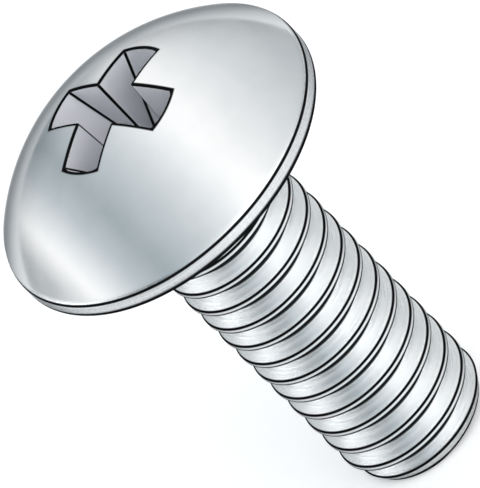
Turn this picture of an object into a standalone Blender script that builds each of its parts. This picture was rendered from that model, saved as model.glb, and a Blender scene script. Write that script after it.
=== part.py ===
"""Truss head machine screw with a cross recess, a 5/16-18 thread and a flat chamfered end.

One cold-headed and thread-rolled piece of steel. It stands on its end: the origin is the centre
of the flat end face, +Z runs up the screw's axis to the head, and the recess's wings lie along X and Y.
All sizes are in metres.
"""

import math

import bmesh
import bpy
from mathutils import Matrix, Vector

# Head
HEAD_DIAMETER = 0.01737
DOME_HEIGHT = 0.00410
RIM_THICKNESS = 0.00081
RIM_TOP_RADIUS = 0.00018
RIM_BOTTOM_RADIUS = 0.00012
UNDERHEAD_FILLET = 0.00040

# Shank and thread
LENGTH_UNDER_HEAD = 0.02109
MAJOR_DIAMETER = 0.00775
THREADS_PER_INCH = 18
INCH = 0.0254
FLANK_ANGLE = math.radians(30.0)
# The crest is cut back from the nominal 5/16 inch, so its flat is wider than an eighth of a pitch.
CREST_FLAT = 0.000285
THREAD_DEPTH = 0.00077
NECK_LENGTH = 0.00080
RUNOUT_LENGTH = 0.00150
CREST_AT_END_FACE = math.radians(104.0)

# Chamfered end
END_DIAMETER = 0.00660
CHAMFER_LENGTH = 0.00110

# Cross recess
RECESS_DIAMETER = 0.00706
RECESS_DEPTH = 0.00346
WING_WIDTH = 0.00212
WING_DRAFT = math.radians(3.0)
WING_END_ANGLE = math.radians(26.5)
NOSE_ANGLE = math.radians(15.0)

# Finish: bright zinc plate over steel
PLATE_COLOUR = (0.78, 0.80, 0.82, 1.0)
PLATE_ROUGHNESS = 0.28

# Facets
AROUND = 64
DOME_STEPS = 10
EDGE_STEPS = 2
FILLET_STEPS = 3
SPARE_TURNS = 2
SHARP_ANGLE = math.radians(30.0)
CUTTER_MARGIN = 0.0010
WELD = 1e-7

# Worked out from the sizes above
PITCH = INCH / THREADS_PER_INCH
MAJOR_RADIUS = MAJOR_DIAMETER / 2
ROOT_RADIUS = MAJOR_RADIUS - THREAD_DEPTH
FLANK_RUN = THREAD_DEPTH * math.tan(FLANK_ANGLE)
ROOT_FLAT = PITCH - CREST_FLAT - 2 * FLANK_RUN
# A thread is rolled on a blank as thick as its pitch diameter, where ridge and groove are equally wide.
BLANK_RADIUS = MAJOR_RADIUS - (PITCH / 2 - CREST_FLAT) / 2 / math.tan(FLANK_ANGLE)
HEAD_RADIUS = HEAD_DIAMETER / 2
DOME_RADIUS = (HEAD_RADIUS**2 + DOME_HEIGHT**2) / (2 * DOME_HEIGHT)
BEARING_Z = LENGTH_UNDER_HEAD
RIM_TOP_Z = BEARING_Z + RIM_THICKNESS
APEX_Z = RIM_TOP_Z + DOME_HEIGHT
DOME_CENTRE_Z = APEX_Z - DOME_RADIUS
NECK_TOP_Z = BEARING_Z - UNDERHEAD_FILLET
RUNOUT_END_Z = BEARING_Z - NECK_LENGTH


def clear_scene():
    for obj in list(bpy.data.objects):
        bpy.data.objects.remove(obj)


def new_collection(name):
    collection = bpy.data.collections.new(name)
    bpy.context.scene.collection.children.link(collection)
    return collection


def arc(centre, radius, start, end, steps):
    """Points (r, z) along an arc in the plane of the profile, with both ends."""
    angles = [start + (end - start) * i / steps for i in range(steps + 1)]
    return [(centre[0] + radius * math.cos(a), centre[1] + radius * math.sin(a)) for a in angles]


def soft_corner(before, corner, after, steps):
    """Points (r, z) of a smooth bend from before to after, pulled towards the corner, without its ends."""
    points = []
    for i in range(1, steps):
        share = i / steps
        first = Vector(before).lerp(Vector(corner), share)
        second = Vector(corner).lerp(Vector(after), share)
        points.append(tuple(first.lerp(second, share)))
    return points


def profile_object(name, points, collection, closed=False):
    """A chain of edges in the XZ plane, for a Screw modifier to turn."""
    mesh = bpy.data.meshes.new(name)
    edges = [(i, i + 1) for i in range(len(points) - 1)]
    if closed:
        edges.append((len(points) - 1, 0))
    mesh.from_pydata([(r, 0.0, z) for r, z in points], edges, [])
    obj = bpy.data.objects.new(name, mesh)
    collection.objects.link(obj)
    return obj


def add_screw(obj, rise=0.0, turns=1):
    """Turns the profile about Z, and lifts it by rise in each turn."""
    screw = obj.modifiers.new("turn", "SCREW")
    screw.axis = "Z"
    screw.angle = math.tau
    screw.screw_offset = rise
    screw.iterations = turns
    screw.steps = screw.render_steps = AROUND
    screw.use_merge_vertices = rise == 0.0
    screw.merge_threshold = WELD
    return screw


def evaluated_mesh(obj):
    """The object's mesh with its modifiers applied. The object itself is removed."""
    graph = bpy.context.evaluated_depsgraph_get()
    mesh = bpy.data.meshes.new_from_object(obj.evaluated_get(graph))
    bpy.data.objects.remove(obj)
    return mesh


def head_profile():
    """From the crown down the dome, round the rim, across the bearing face and into the fillet."""
    # The dome stops where the rounded edge of the rim takes over.
    dome_end = math.asin(HEAD_RADIUS / DOME_RADIUS) - RIM_TOP_RADIUS / DOME_RADIUS
    dome = [
        (DOME_RADIUS * math.sin(a), DOME_CENTRE_Z + DOME_RADIUS * math.cos(a))
        for a in (dome_end * i / DOME_STEPS for i in range(DOME_STEPS + 1))
    ]
    rim_top = (HEAD_RADIUS, RIM_TOP_Z - RIM_TOP_RADIUS)
    rim_corner = soft_corner(dome[-1], (HEAD_RADIUS, RIM_TOP_Z), rim_top, EDGE_STEPS)
    rim_bottom = arc(
        (HEAD_RADIUS - RIM_BOTTOM_RADIUS, BEARING_Z + RIM_BOTTOM_RADIUS),
        RIM_BOTTOM_RADIUS, 0.0, -math.pi / 2, EDGE_STEPS,
    )
    fillet = arc(
        (BLANK_RADIUS + UNDERHEAD_FILLET, BEARING_Z - UNDERHEAD_FILLET),
        UNDERHEAD_FILLET, math.pi / 2, math.pi, FILLET_STEPS,
    )
    return dome + rim_corner + [rim_top] + rim_bottom + fillet


def thread_profile(start_z):
    """One pitch of the thread from the middle of a crest, up across the groove to the next crest."""
    half_crest = CREST_FLAT / 2
    return [
        (MAJOR_RADIUS, start_z + half_crest),
        (ROOT_RADIUS, start_z + half_crest + FLANK_RUN),
        (ROOT_RADIUS, start_z + half_crest + FLANK_RUN + ROOT_FLAT),
        (MAJOR_RADIUS, start_z + PITCH - half_crest),
        (MAJOR_RADIUS, start_z + PITCH + half_crest),
    ]


def fade_into_blank(bm):
    """The thread's run-out: ridge and groove fade into the plain neck, which ends level at the fillet."""
    for vert in bm.verts:
        share = (RUNOUT_END_Z - vert.co.z) / RUNOUT_LENGTH
        share = min(1.0, max(0.0, share))
        share = share * share * (3 - 2 * share)
        radius = math.hypot(vert.co.x, vert.co.y)
        wanted = BLANK_RADIUS + share * (radius - BLANK_RADIUS)
        vert.co.x *= wanted / radius
        vert.co.y *= wanted / radius
        vert.co.z = min(vert.co.z, NECK_TOP_Z)


def thread_mesh(collection):
    """The rolled thread as one open skin, longer than the shank at both ends."""
    start_z = -(SPARE_TURNS + CREST_AT_END_FACE / math.tau) * PITCH
    turns = math.ceil((NECK_TOP_Z - start_z) / PITCH) + 1
    thread = profile_object("thread", thread_profile(start_z), collection)
    add_screw(thread, rise=PITCH, turns=turns)
    return evaluated_mesh(thread)


def saw_off_below_end_face(bm):
    """The end face lies at height zero."""
    bmesh.ops.bisect_plane(
        bm, geom=bm.verts[:] + bm.edges[:] + bm.faces[:], dist=WELD,
        plane_co=(0, 0, 0), plane_no=(0, 0, -1), clear_outer=True,
    )


def blank_mesh(collection):
    """The screw before it is chamfered and punched: head, neck and thread in one closed skin."""
    head = profile_object("head", head_profile(), collection)
    add_screw(head)
    head_skin = evaluated_mesh(head)
    thread_skin = thread_mesh(collection)
    bm = bmesh.new()
    bm.from_mesh(thread_skin)
    fade_into_blank(bm)
    bmesh.ops.remove_doubles(bm, verts=bm.verts, dist=WELD)
    saw_off_below_end_face(bm)
    bm.from_mesh(head_skin)
    bmesh.ops.remove_doubles(bm, verts=bm.verts, dist=WELD)
    bmesh.ops.dissolve_degenerate(bm, dist=WELD, edges=bm.edges)
    open_end = [edge for edge in bm.edges if edge.is_boundary]
    bmesh.ops.holes_fill(bm, edges=open_end, sides=len(open_end))
    bmesh.ops.recalc_face_normals(bm, faces=bm.faces)
    mesh = bpy.data.meshes.new("truss_head_screw")
    bm.to_mesh(mesh)
    bm.free()
    for skin in (head_skin, thread_skin):
        bpy.data.meshes.remove(skin)
    return mesh


def make_cutter(obj):
    obj.hide_render = True
    obj.display_type = "WIRE"
    return obj


def chamfer_cutter(collection):
    """A ring that turns the end down to a cone, from the crests to the flat end face."""
    slope = (MAJOR_RADIUS - END_DIAMETER / 2) / CHAMFER_LENGTH
    low_z = -CUTTER_MARGIN
    high_z = CHAMFER_LENGTH + CUTTER_MARGIN
    outside = MAJOR_RADIUS + slope * CUTTER_MARGIN + CUTTER_MARGIN
    section = [
        (END_DIAMETER / 2 + slope * high_z, high_z),
        (outside, high_z),
        (outside, low_z),
        (END_DIAMETER / 2 + slope * low_z, low_z),
    ]
    ring = profile_object("chamfer_ring", section, collection, closed=True)
    # Turned by half a facet, so that its edges don't run along the thread's.
    ring.rotation_euler.z = math.pi / AROUND
    add_screw(ring)
    return make_cutter(ring)


def cross_outline(half_width, reach, z):
    """The twelve corners of a plus sign, anticlockwise from the wing along +X."""
    corners = []
    for quarter in range(4):
        turn = Matrix.Rotation(quarter * math.pi / 2, 3, "Z")
        for x, y in ((reach, -half_width), (reach, half_width), (half_width, half_width)):
            corners.append(turn @ Vector((x, y, z)))
    return corners


def wing_cross(collection, mouth_z, low_z, high_z):
    """Two crossed wings, a little narrower towards the bottom. WING_WIDTH is their width at the mouth."""
    reach = RECESS_DIAMETER
    bm = bmesh.new()
    loops = []
    for z in (low_z, high_z):
        half_width = WING_WIDTH / 2 + (z - mouth_z) * math.tan(WING_DRAFT)
        verts = [bm.verts.new(corner) for corner in cross_outline(half_width, reach, z)]
        bm.faces.new(verts)
        loops += [bm.edges.get((verts[i - 1], verts[i])) for i in range(len(verts))]
    bmesh.ops.bridge_loops(bm, edges=loops)
    bmesh.ops.recalc_face_normals(bm, faces=bm.faces)
    mesh = bpy.data.meshes.new("wing_cross")
    bm.to_mesh(mesh)
    bm.free()
    cross = bpy.data.objects.new("wing_cross", mesh)
    collection.objects.link(cross)
    return make_cutter(cross)


def recess_punch(collection):
    """The driver's shape: a blunt cone that sets the slope of the wings' ends, cut down to a cross."""
    mouth_radius = RECESS_DIAMETER / 2
    mouth_z = DOME_CENTRE_Z + math.sqrt(DOME_RADIUS**2 - mouth_radius**2)
    floor_z = mouth_z - RECESS_DEPTH
    floor_radius = mouth_radius - RECESS_DEPTH * math.tan(WING_END_ANGLE)
    nose_z = floor_z - floor_radius * math.tan(NOSE_ANGLE)
    top_z = APEX_Z + CUTTER_MARGIN
    top_radius = mouth_radius + (top_z - mouth_z) * math.tan(WING_END_ANGLE)
    section = [(0.0, top_z), (top_radius, top_z), (floor_radius, floor_z), (0.0, nose_z)]
    punch = profile_object("recess_punch", section, collection)
    add_screw(punch)
    cross = wing_cross(collection, mouth_z, nose_z - CUTTER_MARGIN, top_z + CUTTER_MARGIN)
    boolean(punch, cross, "INTERSECT")
    return make_cutter(punch)


def boolean(obj, other, operation):
    modifier = obj.modifiers.new(other.name, "BOOLEAN")
    modifier.operation = operation
    modifier.object = other
    modifier.solver = "EXACT"
    return modifier


def zinc_plate():
    material = bpy.data.materials.new("zinc_plate")
    material.use_nodes = True
    shader = material.node_tree.nodes["Principled BSDF"]
    shader.inputs["Base Color"].default_value = PLATE_COLOUR
    shader.inputs["Metallic"].default_value = 1.0
    shader.inputs["Roughness"].default_value = PLATE_ROUGHNESS
    return material


def truss_head_screw():
    parts = new_collection("truss_head_screw")
    cutters = new_collection("cutters")
    screw = bpy.data.objects.new("truss_head_screw", blank_mesh(cutters))
    parts.objects.link(screw)
    screw.data.materials.append(zinc_plate())
    boolean(screw, chamfer_cutter(cutters), "DIFFERENCE")
    boolean(screw, recess_punch(cutters), "DIFFERENCE")
    screw.data.shade_smooth()
    screw.data.set_sharp_from_angle(angle=SHARP_ANGLE)
    return screw


clear_scene()
truss_head_screw()
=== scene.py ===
# %% [markdown]
# # A truss head machine screw
# This lesson dresses one machine screw in Blender: a wide, low, domed head with a cross recess, a
# right-hand thread of eighteen turns to the inch, and a chamfered flat end. The solid model of the
# same screw is the frame. It fixes every outer size, and this script gives it round surfaces,
# softened edges, a zinc finish, light and a camera.

# %% Load the frame
import math

import bmesh
import bpy
from mathutils import Matrix, Vector


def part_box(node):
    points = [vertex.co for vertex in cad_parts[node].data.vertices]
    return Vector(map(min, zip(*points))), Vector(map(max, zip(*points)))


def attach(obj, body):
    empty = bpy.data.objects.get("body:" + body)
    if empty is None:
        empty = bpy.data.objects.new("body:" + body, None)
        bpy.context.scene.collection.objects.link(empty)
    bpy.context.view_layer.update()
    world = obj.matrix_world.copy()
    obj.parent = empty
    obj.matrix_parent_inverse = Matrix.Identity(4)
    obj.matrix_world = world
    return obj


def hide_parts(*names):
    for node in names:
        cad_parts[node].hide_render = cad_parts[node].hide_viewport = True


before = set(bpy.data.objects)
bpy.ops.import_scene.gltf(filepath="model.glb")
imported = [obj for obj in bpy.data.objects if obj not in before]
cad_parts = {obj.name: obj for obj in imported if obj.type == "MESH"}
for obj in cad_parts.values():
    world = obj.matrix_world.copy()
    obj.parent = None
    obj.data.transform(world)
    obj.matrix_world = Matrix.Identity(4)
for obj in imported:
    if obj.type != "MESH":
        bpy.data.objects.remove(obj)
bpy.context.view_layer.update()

NODE = "truss_head_screw"
SLOT = "zinc_plate"
BODY = "root"
MM = 0.001

low_corner, high_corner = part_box(NODE)
HEAD_RADIUS = (high_corner.x - low_corner.x) / 2
print(f"frame: {2 * HEAD_RADIUS / MM:.2f} mm across the head, {high_corner.z / MM:.2f} mm tall")

# %% [markdown]
# ## Sizes
# A screw is drawn from a few sizes, and the rest follow from them. The thread has a 60 degree
# angle. Its crest is cut back a little, to a flat 0.285 mm wide, which leaves it 0.77 mm deep. It
# is rolled on a blank as thick as its pitch diameter, so the plain neck under the head has that
# thickness too. The dome is 1 micron lower than the frame's, because it has finer facets and has to
# stay inside the frame's box.

# %% Sizes of the screw
DOME_HEIGHT = 4.099 * MM
RIM_THICKNESS = 0.81 * MM
RIM_TOP_ROUND = 0.18 * MM
RIM_BOTTOM_ROUND = 0.12 * MM
UNDERHEAD_FILLET = 0.40 * MM
PITCH = 25.4 * MM / 18
MAJOR_RADIUS = 7.75 * MM / 2
THREAD_DEPTH = 0.77 * MM
ROOT_RADIUS = MAJOR_RADIUS - THREAD_DEPTH
FLANK_ANGLE = math.radians(30.0)
THREAD_ROUND = 0.13 * MM
CREST_FLAT = 0.285 * MM
HALF_CREST = CREST_FLAT / 2
FLANK_RUN = (MAJOR_RADIUS - ROOT_RADIUS) * math.tan(FLANK_ANGLE)
ROOT_FLAT = PITCH - CREST_FLAT - 2 * FLANK_RUN
BLANK_RADIUS = MAJOR_RADIUS - (PITCH / 2 - CREST_FLAT) / 2 / math.tan(FLANK_ANGLE)
NECK_LENGTH = 0.80 * MM
RUNOUT_LENGTH = 1.50 * MM
CREST_AT_END_FACE = math.radians(104.0)
END_RADIUS = 6.60 * MM / 2
CHAMFER_LENGTH = 1.10 * MM
CHAMFER_SLOPE = (MAJOR_RADIUS - END_RADIUS) / CHAMFER_LENGTH
RECESS_RADIUS = 7.06 * MM / 2
RECESS_DEPTH = 3.46 * MM
WING_WIDTH = 2.12 * MM
WING_DRAFT = math.radians(3.0)
WING_END_ANGLE = math.radians(26.5)
NOSE_ANGLE = math.radians(15.0)

BEARING_Z = 21.09 * MM
RIM_TOP_Z = BEARING_Z + RIM_THICKNESS
CROWN_Z = RIM_TOP_Z + DOME_HEIGHT
DOME_RADIUS = (HEAD_RADIUS**2 + DOME_HEIGHT**2) / (2 * DOME_HEIGHT)
DOME_CENTRE_Z = CROWN_Z - DOME_RADIUS
MOUTH_Z = DOME_CENTRE_Z + math.sqrt(DOME_RADIUS**2 - RECESS_RADIUS**2)
FLOOR_Z = MOUTH_Z - RECESS_DEPTH
FLOOR_REACH = RECESS_RADIUS - RECESS_DEPTH * math.tan(WING_END_ANGLE)
FLOOR_HALF_WIDTH = WING_WIDTH / 2 - RECESS_DEPTH * math.tan(WING_DRAFT)
NOSE_Z = FLOOR_Z - FLOOR_REACH * math.tan(NOSE_ANGLE)
NECK_TOP_Z = BEARING_Z - UNDERHEAD_FILLET
RUNOUT_END_Z = BEARING_Z - NECK_LENGTH

STEPS_ROUND = 144
WELD = 1e-7
print(f"length under the head {BEARING_Z / MM:.2f} mm, {BEARING_Z / PITCH:.2f} pitches")
print(f"thread {2 * MAJOR_RADIUS / MM:.2f} mm over crests, {2 * ROOT_RADIUS / MM:.2f} mm over roots")

# %% [markdown]
# ## Small helpers
# A node tree reads like a recipe when each node is one line. The first helper makes a node, links
# a value that is a socket and writes a value that is a number. A soft step is the most used node
# here, because nearly every zone of the screw starts or stops at some size. Profiles are chains of
# edges in the XZ plane, radius first and height second.


# %% Helpers for node trees and profiles
def add_node(tree, kind, inputs=None, **settings):
    made = tree.nodes.new(kind)
    for name, value in settings.items():
        setattr(made, name, value)
    for key, value in (inputs or {}).items():
        if isinstance(value, bpy.types.NodeSocket):
            tree.links.new(value, made.inputs[key])
        else:
            made.inputs[key].default_value = value
    return made


def math_node(tree, operation, *values):
    return add_node(tree, "ShaderNodeMath", dict(enumerate(values)), operation=operation).outputs[0]


def combine(tree, operation, first, *others):
    """One value from many, such as their product or the greatest of them."""
    for other in others:
        first = math_node(tree, operation, first, other)
    return first


def rise(tree, value, start, stop, first=0.0, last=1.0):
    """A soft step: the first number up to start, the last number from stop on."""
    return add_node(tree, "ShaderNodeMapRange", {
        "Value": value, "From Min": start, "From Max": stop, "To Min": first, "To Max": last,
    }, interpolation_type="SMOOTHSTEP").outputs[0]


def fall(tree, value, start, stop):
    """A soft step down: one up to start, nothing from stop on."""
    return rise(tree, value, start, stop, 1.0, 0.0)


def new_object(name, data):
    """An object at the origin, linked into the scene."""
    made = bpy.data.objects.new(name, data)
    bpy.context.scene.collection.objects.link(made)
    return made


def profile_object(name, points, closed=False):
    mesh = bpy.data.meshes.new(name)
    edges = [(i, i + 1) for i in range(len(points) - 1)]
    if closed:
        edges.append((len(points) - 1, 0))
    mesh.from_pydata([(r, 0.0, z) for r, z in points], edges, [])
    return new_object(name, mesh)


def arc(centre, radius, start, end, steps):
    turn = [start + (end - start) * i / steps for i in range(steps + 1)]
    return [(centre[0] + radius * math.cos(a), centre[1] + radius * math.sin(a)) for a in turn]


def plain_mesh(obj):
    """The object's shape with its modifiers applied, as a mesh of its own. The object goes."""
    graph = bpy.context.evaluated_depsgraph_get()
    mesh = bpy.data.meshes.new_from_object(obj.evaluated_get(graph))
    bpy.data.objects.remove(obj)
    return mesh


def turned(obj):
    """Turns a profile once round Z, as a lathe does."""
    screw = obj.modifiers.new("turn", "SCREW")
    screw.axis = "Z"
    screw.steps = screw.render_steps = STEPS_ROUND
    screw.use_merge_vertices = True
    screw.merge_threshold = WELD
    return obj


# %% [markdown]
# ## The thread
# A rolled thread is one groove that climbs round the shank. It could be modelled with a Screw
# modifier, but a node tree says the rule itself: every row of a grid is one point of the thread's
# profile, and every column is one step of the turn. The height grows by one pitch in each turn,
# so the rows close into a helix. Rolling leaves the corners of the profile slightly round, which
# the Fillet Curve node does. Near the head the dies lift off, so ridge and groove fade into the
# plain neck.


# %% Profile of one pitch, from crest to crest
one_pitch = [
    (MAJOR_RADIUS, 0.0),
    (MAJOR_RADIUS, HALF_CREST),
    (ROOT_RADIUS, HALF_CREST + FLANK_RUN),
    (ROOT_RADIUS, HALF_CREST + FLANK_RUN + ROOT_FLAT),
    (MAJOR_RADIUS, PITCH - HALF_CREST),
    (MAJOR_RADIUS, PITCH),
]
thread_profile = profile_object("thread_profile", one_pitch)
print(f"profile: crest {CREST_FLAT / MM:.3f} mm, root {ROOT_FLAT / MM:.3f} mm, depth "
      f"{(MAJOR_RADIUS - ROOT_RADIUS) / MM:.3f} mm")

# %% Node tree that winds the profile into a thread
CORNER_POINTS = 3


def split_count(tree, number, size):
    """How many whole groups of that size a count holds, and what is left over."""
    half_more = math_node(tree, "ADD", number, 0.5)  # so that rounding never loses a whole group
    groups = math_node(tree, "FLOOR", math_node(tree, "DIVIDE", half_more, size))
    return groups, math_node(tree, "SUBTRACT", number, math_node(tree, "MULTIPLY", groups, size))


def thread_tree():
    tree = bpy.data.node_groups.new("rolled_thread", "GeometryNodeTree")
    tree.interface.new_socket("Geometry", in_out="OUTPUT", socket_type="NodeSocketGeometry")
    sockets = {"Profile": "NodeSocketObject", "Material": "NodeSocketMaterial"}
    sockets |= {name: "NodeSocketInt" for name in ("Turns", "Steps round")}
    sizes = ("Pitch", "Corner round", "First height", "Blank radius", "Run-out end", "Run-out length",
             "Neck top")
    sockets |= {name: "NodeSocketFloat" for name in sizes}
    for name, kind in sockets.items():
        tree.interface.new_socket(name, in_out="INPUT", socket_type=kind)
    inputs = add_node(tree, "NodeGroupInput").outputs

    # The profile becomes a curve with rounded corners, and the grid has a row for each of its points.
    source = add_node(tree, "GeometryNodeObjectInfo", {"Object": inputs["Profile"]})
    chain = add_node(tree, "GeometryNodeMeshToCurve", {"Mesh": source.outputs["Geometry"]})
    rounded = add_node(tree, "GeometryNodeFilletCurve", {
        "Curve": chain.outputs[0], "Radius": inputs["Corner round"], "Count": CORNER_POINTS,
    }, mode="POLY").outputs[0]
    size = add_node(tree, "GeometryNodeAttributeDomainSize", {"Geometry": rounded}, component="CURVE")
    rows_in_pitch = math_node(tree, "SUBTRACT", size.outputs["Point Count"], 1)
    rows = math_node(tree, "MULTIPLY_ADD", rows_in_pitch, inputs["Turns"], 1)
    columns = math_node(tree, "ADD", inputs["Steps round"], 1)
    grid = add_node(tree, "GeometryNodeMeshGrid", {"Vertices X": rows, "Vertices Y": columns})

    # Each point of the grid finds its row, its column and its place on the profile.
    row, column = split_count(tree, add_node(tree, "GeometryNodeInputIndex").outputs[0], columns)
    turn, point = split_count(tree, row, rows_in_pitch)
    place = add_node(tree, "GeometryNodeInputPosition").outputs[0]
    sample = add_node(tree, "GeometryNodeSampleIndex", {
        "Geometry": rounded, "Value": place, "Index": point,
    }, data_type="FLOAT_VECTOR", domain="POINT")
    on_profile = add_node(tree, "ShaderNodeSeparateXYZ", {0: sample.outputs[0]}).outputs
    part_turn = math_node(tree, "DIVIDE", column, inputs["Steps round"])
    climb = math_node(tree, "MULTIPLY", inputs["Pitch"], math_node(tree, "ADD", turn, part_turn))
    height = combine(tree, "ADD", inputs["First height"], climb, on_profile["Z"])

    # The profile fades into the plain blank along the run-out.
    runout_start = math_node(tree, "SUBTRACT", inputs["Run-out end"], inputs["Run-out length"])
    faded = rise(tree, height, runout_start, inputs["Run-out end"])
    radius = add_node(tree, "ShaderNodeMix", {
        0: faded, 2: on_profile["X"], 3: inputs["Blank radius"]}).outputs[0]
    angle = math_node(tree, "MULTIPLY", part_turn, math.tau)
    spot = add_node(tree, "ShaderNodeCombineXYZ", {
        "X": math_node(tree, "MULTIPLY", radius, math_node(tree, "COSINE", angle)),
        "Y": math_node(tree, "MULTIPLY", radius, math_node(tree, "SINE", angle)),
        "Z": math_node(tree, "MINIMUM", height, inputs["Neck top"]),
    }).outputs[0]
    wound = add_node(tree, "GeometryNodeSetPosition", {"Geometry": grid.outputs[0], "Position": spot})
    closed = add_node(tree, "GeometryNodeMergeByDistance", {
        "Geometry": wound.outputs[0], "Distance": WELD})
    real = add_node(tree, "GeometryNodeRealizeInstances", {"Geometry": closed.outputs[0]})
    dressed = add_node(tree, "GeometryNodeSetMaterial", {
        "Geometry": real.outputs[0], "Material": inputs["Material"]})
    add_node(tree, "NodeGroupOutput", {"Geometry": dressed.outputs[0]})
    return tree


# %% [markdown]
# ## The finish: where a point lies
# Bright zinc plate is a smooth, faintly blue metal, but it isn't the same all over. A picture could
# be painted for all its zones, but here each zone is worked out from the object's own coordinates
# and the same sizes that shaped the screw. So the zones lie exactly on the form, stay put when the
# screw turns, and one tree serves the whole screw. First, every shaded point is told where it lies.


# %% Where a point lies on the screw
def pair(tree, x, y):
    return add_node(tree, "ShaderNodeCombineXYZ", {"X": x, "Y": y}).outputs[0]


def hypotenuse(tree, x, y):
    """The straight distance to a point that lies x along and y across."""
    return add_node(tree, "ShaderNodeVectorMath", {0: pair(tree, x, y)},
                    operation="LENGTH").outputs["Value"]


def screw_places(tree):
    """Where a shaded point lies, in metres: radius, height, distance from the crest and so on."""
    spot = add_node(tree, "ShaderNodeTexCoord").outputs["Object"]
    axes = add_node(tree, "ShaderNodeSeparateXYZ", {0: spot}).outputs
    turn = math_node(tree, "DIVIDE", math_node(tree, "ARCTAN2", axes["Y"], axes["X"]), math.tau)
    in_turns = math_node(tree, "DIVIDE", axes["Z"], PITCH)
    phase = combine(tree, "SUBTRACT", in_turns, turn, -CREST_AT_END_FACE / math.tau)
    above_crest = math_node(tree, "MULTIPLY", math_node(tree, "WRAP", phase, 0.5, -0.5), PITCH)
    from_middle = add_node(tree, "ShaderNodeVectorMath", {0: spot, 1: (0.0, 0.0, DOME_CENTRE_Z)},
                           operation="DISTANCE").outputs["Value"]
    x, y = (math_node(tree, "ABSOLUTE", axes[name]) for name in ("X", "Y"))
    return {
        "spot": spot,
        "radius": hypotenuse(tree, axes["X"], axes["Y"]),
        "height": axes["Z"],
        "above_crest": above_crest,
        "from_crest": math_node(tree, "ABSOLUTE", above_crest),
        "below_dome": math_node(tree, "SUBTRACT", DOME_RADIUS, from_middle),
        "along_wing": math_node(tree, "MAXIMUM", x, y),
        "across_wing": math_node(tree, "MINIMUM", x, y),
    }


# %% [markdown]
# ## The finish: zones
# The thread's roots are painted nearly black, painted shade for the shade that falls in the groove. The
# socket is pale and matt. Crests and rim are painted a darker grey, painted shade that dims what they
# mirror. Each zone is a soft step at the right radius, height or depth, and two steps multiplied leave
# only what both have.

# %% Zones of the finish
# Pairs are distances from a face of the screw: where the soft step starts and where it stops.
# How far out from the root the painted shade in the thread's roots reaches.
ROOT_SHADE_REACH = 0.03 * MM
END_FACE_SKIN = (0.005 * MM, 0.03 * MM)
# How far in from the crest and the rim the painted shade that darkens them reaches.
CREST_DIM_REACH = (0.04 * MM, 0.01 * MM)
RIM_DIM_REACH = (0.15 * MM, 0.02 * MM)
HEAD_START = (0.1 * MM, 0.2 * MM)
SOCKET_START = (0.03 * MM, 0.10 * MM)
MOUTH_LINE = 0.20 * MM
WINGS_END = (MOUTH_LINE, 1.2 * MOUTH_LINE)


def zones(tree, place):
    """How much of each zone's finish a point has, from nothing to one."""
    radius, height = place["radius"], place["height"]
    on_shank = fall(tree, height, NECK_TOP_Z, BEARING_Z)
    painted_root_shade = fall(tree, radius, ROOT_RADIUS, ROOT_RADIUS + ROOT_SHADE_REACH)
    above_end_face = rise(tree, height, *END_FACE_SKIN)
    on_crest = rise(tree, radius, *(MAJOR_RADIUS - inwards for inwards in CREST_DIM_REACH))
    on_rim = rise(tree, radius, *(HEAD_RADIUS - inwards for inwards in RIM_DIM_REACH))
    in_head = rise(tree, height, *(BEARING_Z + upwards for upwards in HEAD_START))
    near_wings = fall(tree, radius, *(RECESS_RADIUS + outwards for outwards in WINGS_END))
    sunk = rise(tree, place["below_dome"], *SOCKET_START)
    about_socket = math_node(tree, "MULTIPLY", in_head, near_wings)
    return {
        "shank": on_shank,
        # painted shade: the thread's roots, painted nearly black
        "root": combine(tree, "MULTIPLY", painted_root_shade, on_shank, above_end_face),
        # painted shade: crests and rim painted darker so that they mirror less
        "painted_dim_crest_rim": math_node(tree, "MAXIMUM", math_node(tree, "MULTIPLY", on_shank, on_crest), on_rim),
        "rolled": math_node(tree, "MAXIMUM", on_shank, on_rim),
        "about_socket": about_socket,
        "socket": math_node(tree, "MULTIPLY", about_socket, sunk),
    }


# %% [markdown]
# ## The finish: dark edges
# Every edge and crease of the screw is painted with a dark line, painted shade that draws the screw's
# form as ink does on a drawing: along the crests, the rim, the mouth and folds of the socket, the
# chamfer and the end. An edge is where two faces meet. So a point lies on it when its distance from both
# faces is small, and that is all that the helpers here measure.

# %% Lines where faces meet
LINE_CORE = 0.6
print(f"an edge line is fully dark over {LINE_CORE:.0%} of its reach")


def near_both(tree, from_one_face, from_other_face, width):
    """One where two faces meet, falling to nothing at the given distance."""
    away = hypotenuse(tree, from_one_face, from_other_face)
    return fall(tree, away, LINE_CORE * width, width)


def near_corner(tree, across, along, corner, width):
    """One on a corner of the screw's turned profile."""
    return near_both(tree, math_node(tree, "SUBTRACT", across, corner[0]),
                     math_node(tree, "SUBTRACT", along, corner[1]), width)


def mouth_line(tree, place, width):
    """One along the outline of the cross as it is seen from above, falling to nothing outwards."""
    past_side = math_node(tree, "SUBTRACT", place["across_wing"], WING_WIDTH / 2)
    past_end = math_node(tree, "SUBTRACT", place["radius"], RECESS_RADIUS)
    outside = math_node(tree, "MAXIMUM", past_side, past_end)
    return fall(tree, outside, LINE_CORE * width, width)


def chamfer_line(tree, place, width):
    """One where the chamfer's cone meets the flanks of the last turns."""
    cone = math_node(tree, "MULTIPLY_ADD", place["height"], CHAMFER_SLOPE, END_RADIUS)
    down_flank = math_node(tree, "SUBTRACT", place["from_crest"], HALF_CREST)
    flank = math_node(tree, "MULTIPLY_ADD", down_flank, -1 / math.tan(FLANK_ANGLE), MAJOR_RADIUS)
    past_cone = math_node(tree, "SUBTRACT", place["radius"], cone)
    past_flank = math_node(tree, "SUBTRACT", place["radius"], flank)
    from_cone = math_node(tree, "MULTIPLY", past_cone, 1 / math.hypot(1, CHAMFER_SLOPE))
    from_flank = math_node(tree, "MULTIPLY", past_flank, math.sin(FLANK_ANGLE))
    return near_both(tree, from_cone, from_flank, width)


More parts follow.
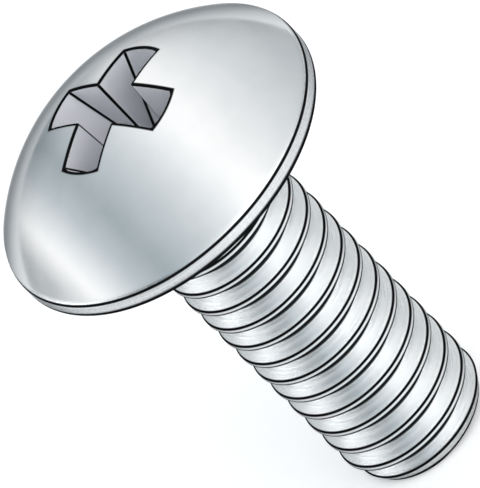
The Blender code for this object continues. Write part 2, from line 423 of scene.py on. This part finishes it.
def socket_folds(tree, place, width):
    """One along the inside edges of the cross: between walls, wing ends and floor."""
    sunk = math_node(tree, "SUBTRACT", MOUTH_Z, place["height"])
    half_width = math_node(tree, "MULTIPLY_ADD", sunk, -math.tan(WING_DRAFT), WING_WIDTH / 2)
    reach = math_node(tree, "MULTIPLY_ADD", sunk, -math.tan(WING_END_ANGLE), RECESS_RADIUS)
    floor_z = math_node(tree, "MULTIPLY_ADD", place["radius"], math.tan(NOSE_ANGLE), NOSE_Z)
    from_side = math_node(tree, "SUBTRACT", place["across_wing"], half_width)
    from_next_side = math_node(tree, "SUBTRACT", place["along_wing"], half_width)
    from_end = math_node(tree, "SUBTRACT", place["radius"], reach)
    from_floor = math_node(tree, "SUBTRACT", place["height"], floor_z)
    folds = ((from_side, from_next_side), (from_side, from_end), (from_side, from_floor),
             (from_end, from_floor))
    return combine(tree, "MAXIMUM", *(near_both(tree, one, other, width) for one, other in folds))


# %% All the edges of the screw
# Widths of the painted shade lines along the edges.
CREST_LINE = 0.09 * MM
LOW_CREST_LINE = 0.13 * MM
CREST_LINE_DROP = 0.03 * MM
RIM_LINE = 0.11 * MM
LOW_RIM_LINE = 0.33 * MM
CHAMFER_LINE = 0.13 * MM
END_LINE = 0.36 * MM
MOUTH_LINE_DEPTH = 0.10 * MM
FOLD_LINE = 0.11 * MM
UPPER_CREST_EDGE = (MAJOR_RADIUS - CREST_LINE_DROP, HALF_CREST + CREST_LINE_DROP * math.tan(FLANK_ANGLE))
LOWER_CREST_EDGE = (MAJOR_RADIUS, -HALF_CREST)


def painted_edge_lines(tree, place, zone):
    """Painted shade as dark lines, one on every edge: crest, rim, mouth and folds of the socket, end
    face and chamfer.
    """
    radius, height, above_crest = place["radius"], place["height"], place["above_crest"]
    crest = math_node(tree, "MAXIMUM",
                      near_corner(tree, radius, above_crest, UPPER_CREST_EDGE, CREST_LINE),
                      near_corner(tree, radius, above_crest, LOWER_CREST_EDGE, LOW_CREST_LINE))
    shallow = fall(tree, place["below_dome"], LINE_CORE * MOUTH_LINE_DEPTH, MOUTH_LINE_DEPTH)
    return combine(
        tree, "MAXIMUM",
        math_node(tree, "MULTIPLY", zone["shank"], crest),
        near_corner(tree, radius, height, (HEAD_RADIUS, RIM_TOP_Z), RIM_LINE),
        near_corner(tree, radius, height, (HEAD_RADIUS, BEARING_Z), LOW_RIM_LINE),
        combine(tree, "MULTIPLY", zone["about_socket"], mouth_line(tree, place, MOUTH_LINE), shallow),
        math_node(tree, "MULTIPLY", zone["socket"], socket_folds(tree, place, FOLD_LINE)),
        near_corner(tree, radius, height, (END_RADIUS, 0.0), END_LINE),
        chamfer_line(tree, place, CHAMFER_LINE),
    )


# %% [markdown]
# ## The finish: zinc plate
# A metal is one colour, a roughness and a relief. The colour starts as bright plate with faint clouds,
# and each zone is blended over it; the dark roots, the darker crests and rim and the dark edge lines are
# painted shade. Polished zinc mirrors the surround, and the edge tint dims what it mirrors where it is
# seen at a slant. Rolling leaves fine lines that run along the thread and scatter the light to the
# sides, so the relief is a noise that changes only across them.

# %% Zinc plate
EDGE_TINT = (0.22, 0.23, 0.24, 1.0)
BRIGHT_ZINC = ((0.885, 0.90, 0.905, 1.0), (0.92, 0.93, 0.935, 1.0))
BRIGHT_ROUGHNESS = (0.12, 0.16)
ZONE_FINISHES = (  # zone, its colour and the roughness it adds, and a later one lies on top
    ("socket", (0.84, 0.84, 0.865, 1.0), 0.65),
    # painted shade on crests and rim, which dims what they mirror
    ("painted_dim_crest_rim", (0.70, 0.71, 0.72, 1.0), 0.0),
    # painted shade in the thread's roots
    ("root", (0.02, 0.021, 0.022, 1.0), 0.25),
    # painted shade: near-black lines along every edge and crease
    ("edges", (0.012, 0.012, 0.013, 1.0), 0.60),
)
CLOUD_NOISE = {"Scale": 700.0, "Detail": 4.0, "Roughness": 0.55}
CLOUD_SPREAD = (0.3, 0.7)
GRAIN_NOISE = {"Scale": 9000.0, "Detail": 3.0, "Roughness": 0.6}
ROLLED_NOISE = {"Scale": 70000.0, "Detail": 2.0, "Roughness": 0.6}
RELIEF = 0.02 * MM
ROLLED_SHARE = 0.9
GRAIN_SHARE = 0.03


def blend(tree, share, first, second):
    return add_node(tree, "ShaderNodeMix", {0: share, 6: first, 7: second}, data_type="RGBA").outputs[2]


def noise(tree, where, look):
    return add_node(tree, "ShaderNodeTexNoise", {"Vector": where, **look}).outputs["Fac"]


def zinc_plate():
    material = bpy.data.materials.new(SLOT)
    material.use_nodes = True
    tree = material.node_tree
    shader = tree.nodes["Principled BSDF"]
    shader.inputs["Metallic"].default_value = 1.0
    shader.inputs["Specular Tint"].default_value = EDGE_TINT
    place = screw_places(tree)
    zone = zones(tree, place)
    # The edge lines are painted shade.
    zone["edges"] = painted_edge_lines(tree, place, zone)

    clouds = noise(tree, place["spot"], CLOUD_NOISE)
    colour = blend(tree, rise(tree, clouds, *CLOUD_SPREAD), *BRIGHT_ZINC)
    roughness = rise(tree, clouds, *CLOUD_SPREAD, *BRIGHT_ROUGHNESS)
    for name, zone_colour, added in ZONE_FINISHES:
        colour = blend(tree, zone[name], colour, zone_colour)
        roughness = math_node(tree, "MULTIPLY_ADD", zone[name], added, roughness)
    tree.links.new(colour, shader.inputs["Base Color"])
    tree.links.new(roughness, shader.inputs["Roughness"])

    grain = noise(tree, place["spot"], GRAIN_NOISE)
    rolled = noise(tree, pair(tree, place["from_crest"], place["radius"]), ROLLED_NOISE)
    lines = combine(tree, "MULTIPLY", rolled, zone["rolled"], ROLLED_SHARE)
    relief = math_node(tree, "MULTIPLY_ADD", grain, GRAIN_SHARE, lines)
    bump = add_node(tree, "ShaderNodeBump", {"Strength": 1.0, "Distance": RELIEF, "Height": relief})
    tree.links.new(bump.outputs["Normal"], shader.inputs["Normal"])
    return material


zinc = zinc_plate()
print("finish:", zinc.name, "with", len(zinc.node_tree.nodes), "nodes")

# %% [markdown]
# ## Winding the thread
# The tree's inputs are set by their identifiers before the object is evaluated for the first time.
# The thread starts two pitches below the end face and stops above the neck, so that both ends can
# be trimmed flush.

# %% The thread's skin
first_height = -2 * PITCH - PITCH * CREST_AT_END_FACE / math.tau
turns = math.ceil((NECK_TOP_Z - first_height) / PITCH) + 1
thread = new_object("thread", bpy.data.meshes.new("thread"))
winding = thread.modifiers.new("winding", "NODES")
winding.node_group = thread_tree()
wanted = {
    "Profile": thread_profile,
    "Material": zinc,
    "Turns": turns,
    "Steps round": STEPS_ROUND,
    "Pitch": PITCH,
    "Corner round": THREAD_ROUND,
    "First height": first_height,
    "Blank radius": BLANK_RADIUS,
    "Run-out end": RUNOUT_END_Z,
    "Run-out length": RUNOUT_LENGTH,
    "Neck top": NECK_TOP_Z,
}
for socket in winding.node_group.interface.items_tree:
    if socket.in_out == "INPUT":
        winding[socket.identifier] = wanted[socket.name]
thread_skin = plain_mesh(thread)
bpy.data.objects.remove(thread_profile)
print(f"thread skin: {turns} turns, {len(thread_skin.polygons)} faces")

# %% [markdown]
# ## The head
# A truss head is a shallow slice of a ball on a thin straight rim. It is turned from one profile:
# down the dome from the crown, round the two soft edges of the rim, across the flat bearing face
# and into the fillet that carries the head on the neck.

# %% The head's skin
DOME_STEPS = 56
RIM_STEPS = 6
FILLET_STEPS = 8
dome_end = math.asin(HEAD_RADIUS / DOME_RADIUS) - RIM_TOP_ROUND / DOME_RADIUS
dome = [
    (DOME_RADIUS * math.sin(dome_end * i / DOME_STEPS),
     DOME_CENTRE_Z + DOME_RADIUS * math.cos(dome_end * i / DOME_STEPS))
    for i in range(DOME_STEPS + 1)
]
rim_start = (HEAD_RADIUS, RIM_TOP_Z - RIM_TOP_ROUND)
corner = Vector((HEAD_RADIUS, RIM_TOP_Z))
soft_corner = []
for way in (0.25, 0.5, 0.75):
    first = Vector(dome[-1]).lerp(corner, way)
    second = corner.lerp(Vector(rim_start), way)
    soft_corner.append(tuple(first.lerp(second, way)))
rim_bottom = arc((HEAD_RADIUS - RIM_BOTTOM_ROUND, BEARING_Z + RIM_BOTTOM_ROUND),
                 RIM_BOTTOM_ROUND, 0.0, -math.pi / 2, RIM_STEPS)
fillet = arc((BLANK_RADIUS + UNDERHEAD_FILLET, BEARING_Z - UNDERHEAD_FILLET),
             UNDERHEAD_FILLET, math.pi / 2, math.pi, FILLET_STEPS)
head_profile = profile_object("head", dome + soft_corner + [rim_start] + rim_bottom + fillet)
head_skin = plain_mesh(turned(head_profile))
print(f"head skin: {len(head_skin.polygons)} faces")

# %% [markdown]
# ## One blank
# The head and the thread meet in the ring of points at the top of the neck, so merging close
# points joins them. The thread is sawn off level at the end face, and one flat face closes it.

# %% Join the skins
blank = bmesh.new()
blank.from_mesh(thread_skin)
bmesh.ops.bisect_plane(blank, geom=blank.verts[:] + blank.edges[:] + blank.faces[:], dist=WELD,
                       plane_co=(0, 0, 0), plane_no=(0, 0, -1), clear_outer=True)
blank.from_mesh(head_skin)
bmesh.ops.remove_doubles(blank, verts=blank.verts, dist=WELD)
bmesh.ops.dissolve_degenerate(blank, dist=WELD, edges=blank.edges)
sawn_rim = [edge for edge in blank.edges if edge.is_boundary]
bmesh.ops.holes_fill(blank, edges=sawn_rim, sides=len(sawn_rim))
bmesh.ops.recalc_face_normals(blank, faces=blank.faces)
blank_mesh = bpy.data.meshes.new("blank")
blank.to_mesh(blank_mesh)
print(f"blank: {len(blank.faces)} faces, {sum(e.is_boundary for e in blank.edges)} open edges")
blank.free()

# %% [markdown]
# ## The chamfer
# The end is turned to a cone so that it finds its hole. A ring with a sloping inner wall takes the
# corner off with one Boolean.

# %% Ring that cuts the chamfer
MARGIN = 1.0 * MM
ring_low, ring_high = -MARGIN, CHAMFER_LENGTH + MARGIN
ring_outside = MAJOR_RADIUS + CHAMFER_SLOPE * MARGIN + MARGIN
ring = turned(profile_object("chamfer_ring", [
    (END_RADIUS + CHAMFER_SLOPE * ring_high, ring_high),
    (ring_outside, ring_high),
    (ring_outside, ring_low),
    (END_RADIUS + CHAMFER_SLOPE * ring_low, ring_low),
], closed=True))
ring.rotation_euler.z = math.pi / STEPS_ROUND
print(f"chamfer: {math.degrees(math.atan(CHAMFER_SLOPE)):.0f} degrees from the axis")

# %% [markdown]
# ## The cross recess
# The driver's socket is struck by a punch: four wings whose ends slope in by 26.5 degrees, with
# nearly upright sides, over a blunt nose. The metal rolls over a little at the mouth. The punch is
# lofted through closed outlines, one for each depth. The last few flare outwards and follow the
# dome, so that they leave that rolled edge.

# %% Outline of the cross
MOUTH_ROUND = 0.07 * MM
CORNER_ROUND = 0.10 * MM
TIP_CUT = 0.35 * CORNER_ROUND
SIDE_STEPS = 10
ARC_STEPS = 8
CORNER_STEPS = 3
print(f"the mouth is rolled over by {MOUTH_ROUND / MM:.2f} mm")


def dome_height(radius):
    return DOME_CENTRE_Z + math.sqrt(DOME_RADIUS**2 - radius**2)


def quarter_outline(half_width, reach):
    """One wing along +X and the inner corner after it, as (x, y) points with its corners rounded."""
    end = math.asin(half_width / reach)
    tip_x = math.sqrt(reach**2 - half_width**2)
    points = []
    for i in range(1, ARC_STEPS):
        angle = -end + 2 * end * i / ARC_STEPS
        points.append((reach * math.cos(angle), reach * math.sin(angle)))
    points.insert(0, (tip_x - TIP_CUT, -half_width + TIP_CUT))
    points.append((tip_x - TIP_CUT, half_width - TIP_CUT))
    start_x, stop_x = tip_x - CORNER_ROUND, half_width + CORNER_ROUND
    for i in range(SIDE_STEPS + 1):
        points.append((start_x + (stop_x - start_x) * i / SIDE_STEPS, half_width))
    for i in range(1, CORNER_STEPS):
        angle = math.radians(90) * i / CORNER_STEPS
        points.append((half_width + CORNER_ROUND * (1 - math.sin(angle)),
                       half_width + CORNER_ROUND * (1 - math.cos(angle))))
    for i in range(SIDE_STEPS + 1):
        points.append((half_width, stop_x + (start_x - stop_x) * i / SIDE_STEPS))
    return points


def cross_outline(half_width, reach):
    loop = []
    for quarter in range(4):
        turn = Matrix.Rotation(quarter * math.pi / 2, 2)
        loop += [turn @ Vector(point) for point in quarter_outline(half_width, reach)]
    return loop


def outward(loop):
    """The unit direction away from the outline at each of its points."""
    found = []
    for i, point in enumerate(loop):
        along = (loop[(i + 1) % len(loop)] - loop[i - 1]).normalized()
        found.append(Vector((along.y, -along.x)))
    return found


# %% Outlines of the punch, from the nose up
NOSE_RING = 0.3
ROLL_ANGLES = (0, 20, 40, 60, 78)
CLEARANCE = 0.02 * MM
floor_loop = cross_outline(FLOOR_HALF_WIDTH, FLOOR_REACH)
mouth_loop = cross_outline(WING_WIDTH / 2, RECESS_RADIUS)
mouth_out = outward(mouth_loop)


def mouth_ring(spread, lift):
    """The outline of the mouth, made wider by the spread and lifted off the dome."""
    wider = [point + out * spread for point, out in zip(mouth_loop, mouth_out)]
    return [Vector((*point, dome_height(point.length) + lift)) for point in wider]


nose_rise = FLOOR_Z - NOSE_Z
punch_loops = [
    [Vector((NOSE_RING * p.x, NOSE_RING * p.y, NOSE_Z + NOSE_RING * nose_rise)) for p in floor_loop],
    [Vector((p.x, p.y, NOSE_Z + p.length / FLOOR_REACH * nose_rise)) for p in floor_loop],
]
for bend in ROLL_ANGLES:
    spread = MOUTH_ROUND * (1 - math.cos(math.radians(bend)))
    sink = MOUTH_ROUND * (1 - math.sin(math.radians(bend)))
    punch_loops.append(mouth_ring(spread, -sink))
# Past the rolled mouth the punch stays a little wider, clear of the dome.
for lift in (CLEARANCE, MARGIN):
    punch_loops.append(mouth_ring(spread + CLEARANCE, lift))
print(f"punch: {len(punch_loops)} outlines of {len(mouth_loop)} points")

# %% Loft the punch
punch_mesh = bmesh.new()
rings = [[punch_mesh.verts.new(p) for p in loop] for loop in punch_loops]
for below, above in zip(rings, rings[1:]):
    for i in range(len(below)):
        punch_mesh.faces.new((below[i - 1], below[i], above[i], above[i - 1]))
nose = punch_mesh.verts.new((0, 0, NOSE_Z))
crown = punch_mesh.verts.new((0, 0, dome_height(0) + MARGIN))
for i in range(len(rings[0])):
    punch_mesh.faces.new((nose, rings[0][i], rings[0][i - 1]))
    punch_mesh.faces.new((crown, rings[-1][i - 1], rings[-1][i]))
bmesh.ops.triangulate(punch_mesh, faces=punch_mesh.faces)
bmesh.ops.recalc_face_normals(punch_mesh, faces=punch_mesh.faces)
punch_data = bpy.data.meshes.new("punch")
punch_mesh.to_mesh(punch_data)
punch_mesh.free()
punch = new_object("punch", punch_data)
print(f"recess: {2 * RECESS_RADIUS / MM:.2f} mm across, {(MOUTH_Z - NOSE_Z) / MM:.2f} mm deep")

# %% [markdown]
# ## The finished screw
# Two Booleans take the chamfer and the recess out of the blank. Where three points of a cut lie in
# line, they leave slivers without any area. Those are dissolved, because they would be stray faces in
# a printed or exported model. Faces are shaded smooth, and only real edges stay sharp. The result is
# one closed mesh that stands exactly where the frame's solid stands, rides on its body and takes its
# place.

# %% Cut and clean
screw = new_object("screw_blank", blank_mesh)
for cutter in (ring, punch):
    cut = screw.modifiers.new(cutter.name, "BOOLEAN")
    cut.operation = "DIFFERENCE"
    cut.solver = "EXACT"
    cut.object = cutter
screw_mesh = plain_mesh(screw)
for cutter in (ring, punch):
    bpy.data.objects.remove(cutter)
cleaned = bmesh.new()
cleaned.from_mesh(screw_mesh)
bmesh.ops.triangulate(cleaned, faces=[face for face in cleaned.faces if len(face.verts) > 4])
bmesh.ops.dissolve_degenerate(cleaned, dist=WELD, edges=cleaned.edges)
open_edges = sum(not edge.is_manifold for edge in cleaned.edges)
cleaned.to_mesh(screw_mesh)
cleaned.free()
print(f"screw: {len(screw_mesh.polygons)} faces, {open_edges} open edges")

# %% Shade and hand over to the frame
SHARP_ANGLE = math.radians(32.0)
screw_mesh.materials.clear()
screw_mesh.materials.append(zinc)
screw_mesh.shade_smooth()
screw_mesh.set_sharp_from_angle(angle=SHARP_ANGLE)
finished = new_object("zinc_plated_screw", screw_mesh)
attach(finished, BODY)
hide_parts(NODE)
print("finished:", finished.name, "in the place of", NODE)

# %% [markdown]
# ## Camera
# The picture is an axonometric drawing: its lines don't converge. A very long lens from far away
# gives that look. The camera looks down at 35.26 degrees, and it is rolled so that the head points
# to the upper left.

# %% Camera at the picture's angle
IMAGE_HEIGHT_PX = 488
PIXEL = 0.046455 * MM
VIEW_AZIMUTH = math.radians(-30.0)
VIEW_ELEVATION = math.radians(35.264)
ROLL = math.radians(45.0)
CENTRE_DOWN_AXIS_PX = 124.24
CENTRE_ACROSS_PX = -3.12
LENS_MM = 1000.0

towards_eye = Vector((math.sin(VIEW_AZIMUTH) * math.cos(VIEW_ELEVATION),
                      -math.cos(VIEW_AZIMUTH) * math.cos(VIEW_ELEVATION), math.sin(VIEW_ELEVATION)))
right = Vector((math.cos(VIEW_AZIMUTH), math.sin(VIEW_AZIMUTH), 0.0))
up = towards_eye.cross(right)
aim = Vector((0, 0, RIM_TOP_Z)) - up * CENTRE_DOWN_AXIS_PX * PIXEL + right * CENTRE_ACROSS_PX * PIXEL
camera_data = bpy.data.cameras.new("camera")
camera_data.lens = LENS_MM
camera_data.clip_end = 100.0
distance = IMAGE_HEIGHT_PX * PIXEL * LENS_MM / camera_data.sensor_width
camera = new_object("camera", camera_data)
camera_right = right * math.cos(ROLL) - up * math.sin(ROLL)
camera_up = right * math.sin(ROLL) + up * math.cos(ROLL)
camera.matrix_world = Matrix.Translation(aim + towards_eye * distance) @ Matrix(
    (camera_right, camera_up, towards_eye)).transposed().to_4x4()
bpy.context.scene.camera = camera
print(f"camera {distance:.2f} m away")

# %% [markdown]
# ## Floor and light
# The screw stands on a white floor. Polished metal has no shade of its own and shows whatever is
# round it, so lamps would only leave small hot spots on it. Instead the whole surround gives the
# light, in soft bands from side to side. There are two rows of them: one overhead, which the low
# dome mirrors, and a stronger one lower down, which the steep sides of the thread mirror.


# %% Floor
FLOOR_HALF = 3.0
FLOOR_WHITE = 0.95
FLOOR_GLOW = 0.30


def white_floor():
    material = bpy.data.materials.new("white_floor")
    material.use_nodes = True
    tree = material.node_tree
    shader = tree.nodes["Principled BSDF"]
    shader.inputs["Base Color"].default_value = (FLOOR_WHITE, FLOOR_WHITE, FLOOR_WHITE, 1.0)
    shader.inputs["Roughness"].default_value = 0.9
    shader.inputs["Specular IOR Level"].default_value = 0.0
    rays = add_node(tree, "ShaderNodeLightPath").outputs
    seen = combine(tree, "MAXIMUM", rays["Is Camera Ray"], rays["Is Glossy Ray"],
                   rays["Is Transmission Ray"])
    shader.inputs["Emission Color"].default_value = (1.0, 1.0, 1.0, 1.0)
    tree.links.new(math_node(tree, "MULTIPLY", seen, FLOOR_GLOW), shader.inputs["Emission Strength"])
    return material


floor_mesh = bpy.data.meshes.new("floor")
floor_mesh.from_pydata([(-FLOOR_HALF, -FLOOR_HALF, 0), (FLOOR_HALF, -FLOOR_HALF, 0),
                        (FLOOR_HALF, FLOOR_HALF, 0), (-FLOOR_HALF, FLOOR_HALF, 0)], [], [(0, 1, 2, 3)])
floor = new_object("floor", floor_mesh)
floor.data.materials.append(white_floor())
print("floor:", 2 * FLOOR_HALF, "m square")

# %% [markdown]
# ## The bands
# A mirror shows what lies as far beyond its own normal as the eye lies before it. So the direction
# half-way between the viewer and a spot of the surround is the normal of the metal that shows the
# spot. The bands are laid out by that half-way direction, from one side of the screw to the other,
# and a round part gets its bright and dark stripes. The overhead row serves normals as upright as
# the dome's, and the low row serves all that lean further.

# %% Bands of light
OVERHEAD_BANDS = [  # place across the screw, brightness, coolness
    (-1.0, 0.49, 0.4), (-0.88, 0.60, 0.3), (-0.755, 1.12, 0.0), (-0.66, 0.86, 0.3), (-0.55, 0.60, 0.8),
    (-0.40, 0.45, 1.0), (-0.30, 0.54, 0.9), (-0.18, 0.64, 0.6), (-0.05, 0.78, 0.4), (0.06, 0.93, 0.2),
    (0.20, 1.10, 0.0), (0.30, 1.06, 0.0), (0.42, 0.93, 0.1), (0.66, 0.74, 0.3), (0.85, 0.61, 0.4),
    (1.0, 0.56, 0.4),
]
LOW_BANDS = [
    (-1.0, 0.10, 0.3), (-0.92, 1.20, 0.1), (-0.84, 3.50, 0.0), (-0.75, 1.80, 0.2), (-0.62, 0.24, 1.3),
    (-0.50, 0.02, 2.2), (-0.38, 0.26, 2.0), (-0.24, 0.88, 0.9), (-0.08, 1.15, 0.3), (0.08, 2.15, 0.0),
    (0.20, 3.55, 0.0), (0.30, 2.55, 0.0), (0.42, 1.35, 0.1), (0.58, 0.88, 0.2), (0.75, 0.38, 0.3),
    (0.92, 0.10, 0.4), (1.0, 0.08, 0.4),
]
COOL_SHIFT = (-0.12, 0.0, 0.07)
print("bands:", len(OVERHEAD_BANDS), "overhead,", len(LOW_BANDS), "low down")

# %% One row of bands
world = bpy.data.worlds.new("studio")
bpy.context.scene.world = world
world.use_nodes = True
sky = world.node_tree


def vector_node(operation, *values):
    return add_node(sky, "ShaderNodeVectorMath", dict(enumerate(values)), operation=operation)


def part_along(vector, axis):
    return vector_node("DOT_PRODUCT", vector, axis).outputs["Value"]


def banded_light(across, bands):
    """The light of one row of bands, as a colour whose brightness goes past one."""
    ramp = add_node(sky, "ShaderNodeValToRGB", {"Fac": across})
    ramp.color_ramp.interpolation = "LINEAR"
    stops = ramp.color_ramp.elements
    while len(stops) < len(bands):
        stops.new(0.5)
    for stop, (place, _, _) in zip(stops, bands):
        stop.position = (place + 1) / 2
    top = max(level for _, level, _ in bands)
    for stop, (_, level, coolness) in zip(stops, bands):
        stop.color = (*(level / top * (1 + coolness * shift) for shift in COOL_SHIFT), 1.0)
    return add_node(sky, "ShaderNodeVectorMath", {0: ramp.outputs["Color"], "Scale": top},
                    operation="SCALE").outputs[0]


# %% Surround
direction = add_node(sky, "ShaderNodeTexCoord").outputs["Generated"]
halfway = vector_node("NORMALIZE", vector_node("ADD", direction, towards_eye).outputs[0]).outputs[0]
lean_at_rim = HEAD_RADIUS / DOME_RADIUS
upright_at_rim = math.sqrt(1 - lean_at_rim**2)
LEAN_ON_THREAD = 0.90
ROW_BLEND = 0.05
rows = []
for bands, widest_lean in ((OVERHEAD_BANDS, lean_at_rim), (LOW_BANDS, LEAN_ON_THREAD)):
    across = math_node(sky, "MULTIPLY_ADD", part_along(halfway, right), 0.5 / widest_lean, 0.5)
    rows.append(banded_light(across, bands))
uprightness = part_along(halfway, Vector((0, 0, 1)))
low_share = fall(sky, uprightness, upright_at_rim - ROW_BLEND, upright_at_rim)
mixed = add_node(sky, "ShaderNodeMix", {0: low_share, 4: rows[0], 5: rows[1]},
                 data_type="VECTOR").outputs[1]
sky.links.new(mixed, sky.nodes["Background"].inputs["Color"])
print(f"the low row takes over {math.degrees(math.asin(lean_at_rim)):.0f} degrees from upright")

# %% [markdown]
# ## Finish
# The picture keeps the plain Standard view transform. The dressed screw may not grow past the
# frame's solid.

# %% Finish
scene = bpy.context.scene
scene.view_settings.view_transform = "Standard"
